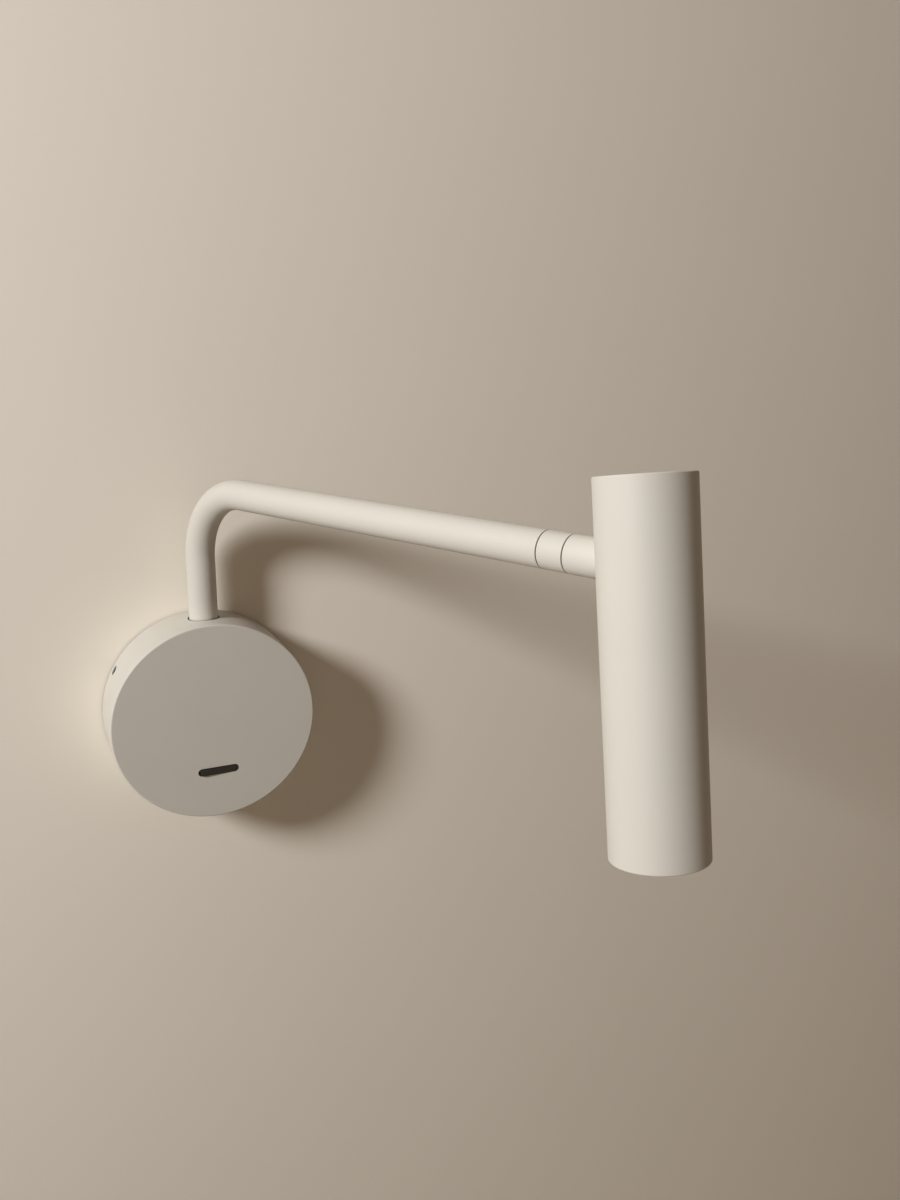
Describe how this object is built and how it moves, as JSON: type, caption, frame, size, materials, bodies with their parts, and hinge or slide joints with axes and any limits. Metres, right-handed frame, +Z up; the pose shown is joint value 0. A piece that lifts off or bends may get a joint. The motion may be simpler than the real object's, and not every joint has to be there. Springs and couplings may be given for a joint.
{
  "type": "bedside wall reading lamp",
  "caption": "Wall reading lamp: round base with a slim rocker switch, a bent tube arm that swings over the bed, and a slim cylindrical head that turns and tilts on the arm's end.",
  "frame": {"origin": "centre of the round base on the wall plane, midway between the two wall fixing slots", "axes": "+Z up, +Y into the wall, the lamp stands out towards -Y, +X to the right seen from the room"},
  "size_m": [0.1664, 0.2773, 0.1968],
  "materials": {
    "white_powder_coat": "matt fine-texture powder coat, warm off-white",
    "zinc_plated_steel": "bright zinc plate",
    "black_screw": "black oxide",
    "brass": "turned",
    "cast_zinc": "die-cast, tumbled",
    "black_plastic": "fine-texture moulding",
    "dark_friction_disc": "dull",
    "nylon": "natural nylon",
    "white_plastic": "moulded",
    "foam_tape": "foam",
    "black_rubber": "matt",
    "aluminium": "extruded, mill finish",
    "bright_reflector": "vacuum-metallised",
    "frosted_lens": "frosted",
    "led_phosphor": "phosphor gel"
  },
  "bodies": {
    "base": {"wall_plate": "zinc_plated_steel", "cable_grommet": "black_rubber", "earth_screw": "zinc_plated_steel", "terminal_block": "nylon", "terminal_screws": "zinc_plated_steel", "base_cover": "white_powder_coat", "cover_side_screws": "black_screw", "rim_bush": "black_plastic", "arm_bearing_block": "cast_zinc", "bearing_block_screws": "zinc_plated_steel", "switch_housing": "black_plastic", "switch_pivot_pin": "zinc_plated_steel", "switch_screws": "zinc_plated_steel", "switch_tabs": "brass", "led_driver": "white_plastic", "driver_tape": "foam_tape"},
    "arm": {"arm_tube": "white_powder_coat", "arm_foot_insert": "brass", "arm_thrust_washer": "nylon", "arm_friction_washer": "nylon", "arm_stop_plate": "zinc_plated_steel", "arm_stop_pin": "zinc_plated_steel", "arm_spring_washer": "zinc_plated_steel", "arm_lock_nut": "zinc_plated_steel", "arm_end_plug": "brass", "seam_gasket": "dark_friction_disc", "swivel_ring": "white_powder_coat", "swivel_friction_disc": "dark_friction_disc", "swivel_stop_pin": "zinc_plated_steel", "swivel_bolt": "zinc_plated_steel", "swivel_spring_washer": "zinc_plated_steel"},
    "neck": {"neck_sleeve": "white_powder_coat", "neck_tongue": "white_powder_coat"},
    "head": {"head_shell": "white_powder_coat", "head_end_cap": "white_powder_coat", "head_fixing_screw": "black_screw", "tilt_yoke": "zinc_plated_steel", "tilt_pin": "zinc_plated_steel", "tilt_friction_washers": "nylon", "yoke_screws": "zinc_plated_steel", "heat_sink": "aluminium", "led_board": "aluminium", "led_chip": "led_phosphor", "board_screws": "zinc_plated_steel", "reflector": "bright_reflector", "lens": "frosted_lens", "lens_ring": "white_powder_coat"},
    "rocker": {"switch_rocker": "black_plastic"}
  },
  "joints": [
    {"name": "arm_swing", "type": "hinge", "parent": "base", "child": "arm", "pos_m": [0, -0.0147, 0.05], "axis": [0, 0, 1], "range_deg": [-111.4, 64.6]},
    {"name": "head_turn", "type": "hinge", "parent": "arm", "child": "neck", "pos_m": [0.08733, -0.21651, 0.1144], "axis": [0.3971, -0.9178, 0], "range_deg": [-165.4, 174.6]},
    {"name": "head_tilt", "type": "hinge", "parent": "neck", "child": "head", "pos_m": [0.09909, -0.24368, 0.1144], "axis": [0.9148, 0.3959, -0.0802], "range_deg": [-3, 21]},
    {"name": "switch_rock", "type": "hinge", "parent": "base", "child": "rocker", "pos_m": [0, -0.0265, -0.0255], "axis": [0, 0, 1], "range_deg": [-6, 0]}
  ]
}
